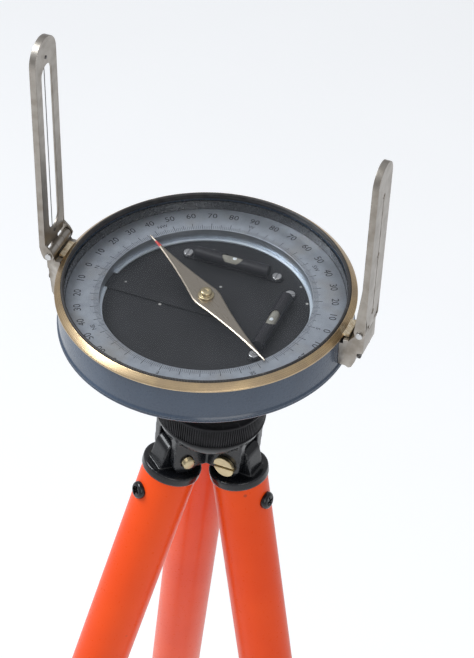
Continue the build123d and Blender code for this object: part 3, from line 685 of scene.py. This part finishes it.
def leg(name):
    place = LEG[name]
    flange, length, radius = -12.8, 600.0, 13.7
    end = flange - length
    tube = ((12.2, flange - 0.1), (12.2, end), (radius, end), (radius, flange - 0.1))
    add_piece(f"painted_leg_{name}", lathe(tube, around=96, soft=0.4), place, "orange_paint",
              [f"leg_tube_{name}"])
    foot_low = foot_level(name)
    ferrule, tip = foot_low + 42, 5.0
    inner = ((9.8, ferrule), (9.8, ferrule + 600), (11.2, ferrule + 600), (11.2, ferrule))
    add_piece(f"inner_leg_{name}", lathe(inner, around=96, soft=0.3), place, "leg_alloy",
              [f"lower_tube_{name}"])
    point = [(tip * math.sin(turn), foot_low - tip * math.cos(turn))
             for turn in (0, math.pi / 6, math.pi / 3)]
    shell = point + [
        (tip, foot_low), (tip, foot_low + 9), (11.7, foot_low + 30), (12.8, foot_low + 34),
        (12.8, foot_low + 44), (12.3, foot_low + 45), (12.3, foot_low + 47), (12.8, foot_low + 48),
        (12.8, foot_low + 59), (12.2, foot_low + 60), (11.25, foot_low + 60), (11.25, ferrule),
        (0, ferrule),
    ]
    add_piece(f"pointed_foot_{name}", lathe(shell, around=96, soft=0.5), place, "black_plastic",
              [f"foot_{name}"])
    leg_knob(name, place, end)


def foot_level(name):
    """Distance along the leg from its hinge to the centre of the round tip, negative."""
    hinge = LEG[name].translation.z / MM
    drop = LEG[name].to_3x3() @ UP
    return -(hinge - 5.0) / drop.z


def leg_knob(name, place, end):
    """Fluted clamp knob whose axis points outward."""
    turn = Matrix.Rotation(math.pi / 2, 4, "Y")
    level = Matrix.Translation((0, 0, (end - 8.0) * MM))
    start = 20.8
    profile = (
        (0, 11.4), (2.7, 11.4), (3.0, 11.8), (3.0, start), (6.2, start), (7.4, start + 1.2),
        (8.5, start + 2.6, "rib"), (8.5, start + 8.8, "rib"), (7.9, start + 10.4, "rib"),
        (6.6, start + 11), (4.0, start + 11), (3.4, start + 10.4), (0, start + 10.2),
    )
    pattern = flutes(12)
    mesh = lathe(profile, around=9 * len(pattern), soft=0.6, ribs=pattern, depth=1.1)
    add_piece(f"fluted_knob_{name}", mesh, place @ level @ turn, "black_plastic", [f"leg_knob_{name}"])


# ---------------------------------------------------------------- CAD nodes that stay
def finish_node(node, finish, bevel=0.15):
    """Gives a CAD node its material and softly broken edges."""
    kept = frame["nodes"][node]
    kept.data.materials.clear()
    kept.data.materials.append(FINISHES[finish].material)
    kept.data.shade_smooth()
    weld = kept.modifiers.new("weld", "WELD")
    weld.merge_threshold = 0.004 * MM
    flat = kept.modifiers.new("flat", "DECIMATE")
    flat.decimate_type = "DISSOLVE"
    flat.angle_limit = math.radians(0.6)
    edge = kept.modifiers.new("edge", "BEVEL")
    edge.width = bevel * MM
    edge.segments = 2
    edge.limit_method = "ANGLE"
    edge.angle_limit = math.radians(28)
    edge.use_clamp_overlap = False
    even = kept.modifiers.new("even", "WEIGHTED_NORMAL")
    even.weight = 90


def cast_node(node, finish, voxel=0.5, passes=6):
    """Gives a CAD node the soft corners of a casting."""
    kept = frame["nodes"][node]
    kept.data.materials.clear()
    kept.data.materials.append(FINISHES[finish].material)
    skin = kept.modifiers.new("skin", "REMESH")
    skin.mode = "VOXEL"
    skin.voxel_size = voxel * MM
    skin.use_smooth_shade = True
    soft = kept.modifiers.new("soft", "SMOOTH")
    soft.factor = 0.5
    soft.iterations = passes


KEPT = {
    "cover_glass": ("glass", 0.2), "ledge_ring": ("bright_silver", 0.25),
    "base_plate": ("black_plate", 0.1), "pivot_post": ("steel", 0.05),
    "lift_arm": ("black_plate", 0.1), "plate_screws": ("steel", 0.12),
    "level_bed_x": ("level_black", 0.12), "level_bed_y": ("level_black", 0.12),
    "azimuth_hub": ("black_gloss", 0.3), "ball_stud": ("steel", 0.2), "ball_seat": ("seat", 0.1),
    "bracket_screws": ("dark_steel", 0.15), "sight_wire": ("dark_steel", 0.04),
}
for vane in VANES:
    KEPT[f"{vane}_vane"] = ("nickel", 0.16)
    KEPT[f"{vane}_bracket"] = ("nickel", 0.2)
    KEPT[f"{vane}_pin"] = ("steel", 0.15)
for leg_name in LEGS:
    KEPT[f"leg_screw_{leg_name}"] = ("black_gloss", 0.15)
    KEPT[f"leg_collar_{leg_name}"] = ("black_plastic", 0.4)


# ---------------------------------------------------------------- studio
def floor():
    bpy.ops.mesh.primitive_grid_add(x_subdivisions=8, y_subdivisions=8, size=30)
    ground = bpy.context.object
    ground.name = "studio_floor"
    made = Finish("studio_floor", Emission_Color=(1, 1, 1, 1), Emission_Strength=0.16)
    made.feed("Base Color", made.mix(made.noise(300), (0.9, 0.9, 0.9), (0.93, 0.93, 0.93)))
    made.feed("Roughness", made.span(made.noise(40), 0, 1, 0.7, 0.8))
    ground.data.materials.append(made.material)


def softbox(name, direction, distance, size, energy, colour):
    """Square area light that looks at the compass from a direction."""
    lamp = bpy.data.lights.new(name, "AREA")
    lamp.size, lamp.energy, lamp.color = size, energy, colour
    holder = bpy.data.objects.new(name, lamp)
    bpy.context.scene.collection.objects.link(holder)
    toward = Vector(direction).normalized()
    holder.location = RIM.translation + toward * distance
    holder.rotation_mode = "QUATERNION"
    holder.rotation_quaternion = toward.to_track_quat("Z", "Y")


def world():
    """Pale studio air, brighter overhead than at the sides."""
    made = bpy.data.worlds.new("studio")
    bpy.context.scene.world = made
    made.use_nodes = True
    tree = made.node_tree
    place = tree.nodes.new("ShaderNodeTexCoord")
    parts = tree.nodes.new("ShaderNodeSeparateXYZ")
    ramp = tree.nodes.new("ShaderNodeValToRGB")
    tree.links.new(place.outputs["Generated"], parts.inputs[0])
    tree.links.new(parts.outputs[2], ramp.inputs[0])
    tree.links.new(ramp.outputs[0], tree.nodes["Background"].inputs[0])
    ramp.color_ramp.elements[0].color = (0.5, 0.5, 0.51, 1)
    ramp.color_ramp.elements[1].color = (0.84, 0.87, 0.92, 1)
    tree.nodes["Background"].inputs[1].default_value = 0.75


def camera():
    """Camera at the height and side that the object is looked at from."""
    side, elevation, distance, lens = math.radians(22.9), math.radians(40.65), 1.1038, 131.3
    pan, tilt, roll = math.radians(-0.74), math.radians(-1.11), math.radians(-0.16)
    away = Vector((math.sin(side) * math.cos(elevation), -math.cos(side) * math.cos(elevation),
                   math.sin(elevation)))
    forward = -away
    right = Vector((math.cos(side), math.sin(side), 0))
    up = right.cross(forward)
    turn = Quaternion(up, pan)
    forward, right = turn @ forward, turn @ right
    turn = Quaternion(right, tilt)
    forward, up = turn @ forward, turn @ up
    turn = Quaternion(forward, roll)
    right, up = turn @ right, turn @ up
    lens_data = bpy.data.cameras.new("camera")
    lens_data.lens = lens
    lens_data.sensor_width = 36
    holder = bpy.data.objects.new("camera", lens_data)
    bpy.context.scene.collection.objects.link(holder)
    holder.matrix_world = axes(RIM.translation + away * distance, right, up, -forward)
    bpy.context.scene.camera = holder


camera()
world()
floor()
softbox("key", (-1.0, -0.25, 1.15), 2.2, 1.2, 48, (0.93, 0.97, 1.0))
softbox("fill", (0.9, -1.2, 0.7), 2.6, 1.6, 16, (1.0, 0.98, 0.95))
bpy.context.scene.view_settings.view_transform = "Standard"

compass_box()
bezel()
milled_ring()
dial()
needle()
needle_cap()
for level_axis in ("x", "y"):
    spirit_level(level_axis)
clamp_ring()
hinge_bolts()
bearing_screw()
needle_lock()
for leg_name in LEGS:
    leg(leg_name)
    cast_node(f"leg_cap_{leg_name}", "black_gloss")
cast_node("tripod_head", "black_gloss")
for node_name, (finish_name, bevel_width) in KEPT.items():
    finish_node(node_name, finish_name, bevel_width)

bpy.context.view_layer.update()
